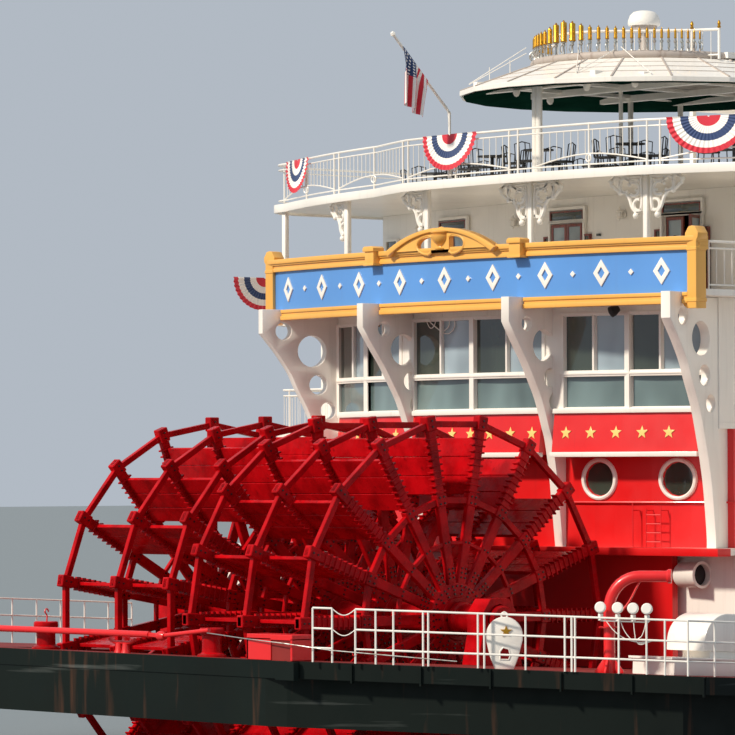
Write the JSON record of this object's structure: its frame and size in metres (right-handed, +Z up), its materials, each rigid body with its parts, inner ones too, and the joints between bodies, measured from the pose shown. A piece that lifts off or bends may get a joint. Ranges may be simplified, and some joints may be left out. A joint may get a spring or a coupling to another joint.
{
  "type": "sternwheel paddle boat, 1:10 scale model",
  "caption": "Sternwheel paddle boat at one tenth of full size, with a split paddlewheel in the fantail, stepped decks, tall stacks, swing stages and a round stern canopy.",
  "frame": {"origin": "centre of the footprint, on the flat bottom of the hull", "axes": "+X to the bow, +Y to port, +Z up"},
  "size_m": [12.74, 2.72, 3.4],
  "materials": {
    "white_paint": "gloss marine enamel over steel",
    "red_paint": "gloss bright red enamel",
    "wheel_paint": "wet gloss deep red enamel",
    "hull_paint": "satin black hull paint",
    "board_paint": "blue enamel",
    "frame_paint": "amber yellow enamel",
    "whistle_brass": "polished brass",
    "door_wood": "varnished mahogany",
    "stack_paint": "black heat-proof paint",
    "flag_cloth": "printed and pleated cotton"
  },
  "bodies": {
    "root": {"antenna_dome": "white_paint", "board_frame": "frame_paint", "boom_mast_port": "white_paint", "boom_mast_starboard": "white_paint", "bow_capstan": "red_paint", "bow_stairs": "white_paint", "bunting_gallery": "flag_cloth", "bunting_middle": "flag_cloth", "bunting_port": "flag_cloth", "bunting_starboard": "flag_cloth", "cabin_deck": "white_paint", "cabin_house": "white_paint", "cabin_railing": "white_paint", "canopy": "white_paint", "engine_bulkhead": "red_paint", "fantail_deck": "red_paint", "fantail_girder": "hull_paint", "fantail_railing": "white_paint", "fantail_railing_port": "white_paint", "fin_port_inner": "white_paint", "fin_port_outer": "white_paint", "fin_starboard_inner": "white_paint", "fin_starboard_outer": "white_paint", "flag": "flag_cloth", "flagstaff": "white_paint", "hull": "hull_paint", "jackstaff": "white_paint", "main_deck": "red_paint", "main_house": "white_paint", "name_board": "board_paint", "observation_deck": "white_paint", "observation_house": "white_paint", "observation_railing": "white_paint", "pilothouse": "white_paint", "pilothouse_roof": "white_paint", "promenade_deck": "white_paint", "promenade_house": "white_paint", "promenade_railing": "white_paint", "stern_wall_lower": "red_paint", "stern_wall_upper": "white_paint", "sun_deck": "white_paint", "texas_deck": "white_paint", "texas_house": "white_paint", "texas_railing": "white_paint", "wheel_bearing_port": "red_paint", "wheel_bearing_starboard": "red_paint", "whistles": "whistle_brass"},
    "paddlewheel": {"wheel_shaft": "wheel_paint", "wheel_half_port": "wheel_paint", "wheel_half_starboard": "wheel_paint"},
    "rudder_port": {"rudder_port": "hull_paint"},
    "rudder_starboard": {"rudder_starboard": "hull_paint"},
    "boom_port": {"boom_port": "white_paint"},
    "boom_starboard": {"boom_starboard": "white_paint"},
    "stack_port": {"stack_port": "stack_paint"},
    "stack_starboard": {"stack_starboard": "stack_paint"},
    "door_port": {"door_leaf_port": "door_wood"},
    "door_starboard": {"door_leaf_starboard": "door_wood"}
  },
  "joints": [
    {"name": "paddlewheel_spin", "type": "hinge", "parent": "root", "child": "paddlewheel", "pos_m": [-5.72, 0, 0.605], "axis": [0, 1, 0], "continuous": true},
    {"name": "rudder_port_turn", "type": "hinge", "parent": "root", "child": "rudder_port", "pos_m": [-4.83, 0.42, 0.2], "axis": [0, 0, 1], "range_deg": [-35, 35]},
    {"name": "rudder_starboard_turn", "type": "hinge", "parent": "root", "child": "rudder_starboard", "pos_m": [-4.83, -0.42, 0.2], "axis": [0, 0, 1], "range_deg": [-35, 35]},
    {"name": "boom_port_swing", "type": "hinge", "parent": "root", "child": "boom_port", "pos_m": [4.98, 0.56, 0.83], "axis": [0, 0, 1], "range_deg": [0, 100]},
    {"name": "boom_starboard_swing", "type": "hinge", "parent": "root", "child": "boom_starboard", "pos_m": [4.98, -0.56, 0.83], "axis": [0, 0, -1], "range_deg": [0, 100]},
    {"name": "stack_port_fold", "type": "hinge", "parent": "root", "child": "stack_port", "pos_m": [2.297, 0.43, 2.011], "axis": [0, -1, 0], "range_deg": [0, 90]},
    {"name": "stack_starboard_fold", "type": "hinge", "parent": "root", "child": "stack_starboard", "pos_m": [2.297, -0.43, 2.011], "axis": [0, -1, 0], "range_deg": [0, 90]},
    {"name": "door_port_swing", "type": "hinge", "parent": "root", "child": "door_port", "pos_m": [-4.608, 0.0605, 1.42], "axis": [0, 0, -1], "range_deg": [0, 110]},
    {"name": "door_starboard_swing", "type": "hinge", "parent": "root", "child": "door_starboard", "pos_m": [-4.608, -0.0605, 1.42], "axis": [0, 0, 1], "range_deg": [-110, 0]}
  ],
  "couplings": [
    {"joint": "rudder_starboard_turn", "follows": "rudder_port_turn", "ratio": 1}
  ]
}
